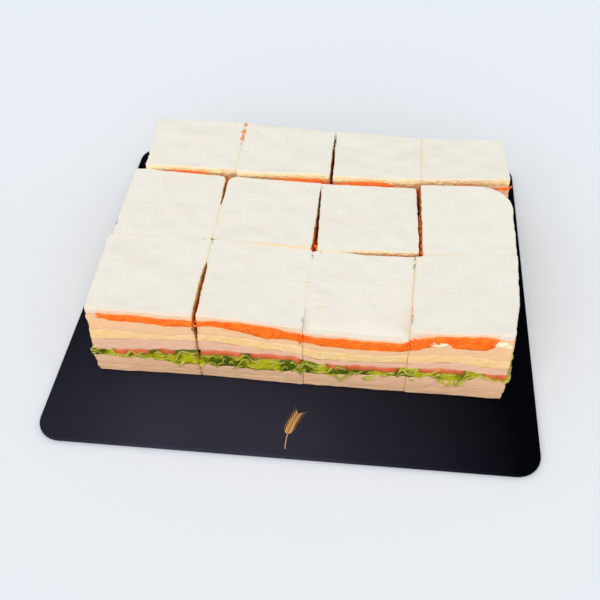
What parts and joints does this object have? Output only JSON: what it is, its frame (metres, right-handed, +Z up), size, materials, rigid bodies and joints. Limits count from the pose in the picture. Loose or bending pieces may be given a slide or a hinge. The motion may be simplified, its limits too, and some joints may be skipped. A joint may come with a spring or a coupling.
{
  "type": "platter of crustless tea sandwiches",
  "caption": "Crustless layered tea sandwiches, cut in squares and served as a slab on a flat square black board.",
  "frame": {"origin": "centre of the board's underside", "axes": "+Z up out of the board, -Y towards the front, +X to the right as seen from the front"},
  "size_m": [0.3, 0.3, 0.0634],
  "materials": {
    "board": "satin",
    "bread": "matte",
    "carrot": "satin",
    "egg": "matte",
    "tomato": "satin",
    "lettuce": "satin",
    "cheese": "satin",
    "gold": "satin"
  },
  "bodies": {
    "root": {"board": "board", "sandwich_front_1": "bread", "sandwich_front_2": "bread", "sandwich_front_3": "bread", "sandwich_front_4": "bread", "sandwich_middle_1": "bread", "sandwich_middle_2": "bread", "sandwich_middle_3": "bread", "sandwich_middle_4": "bread", "sandwich_back_1": "bread", "sandwich_back_2": "bread", "sandwich_back_3": "bread", "sandwich_back_4": "bread"}
  },
  "joints": []
}
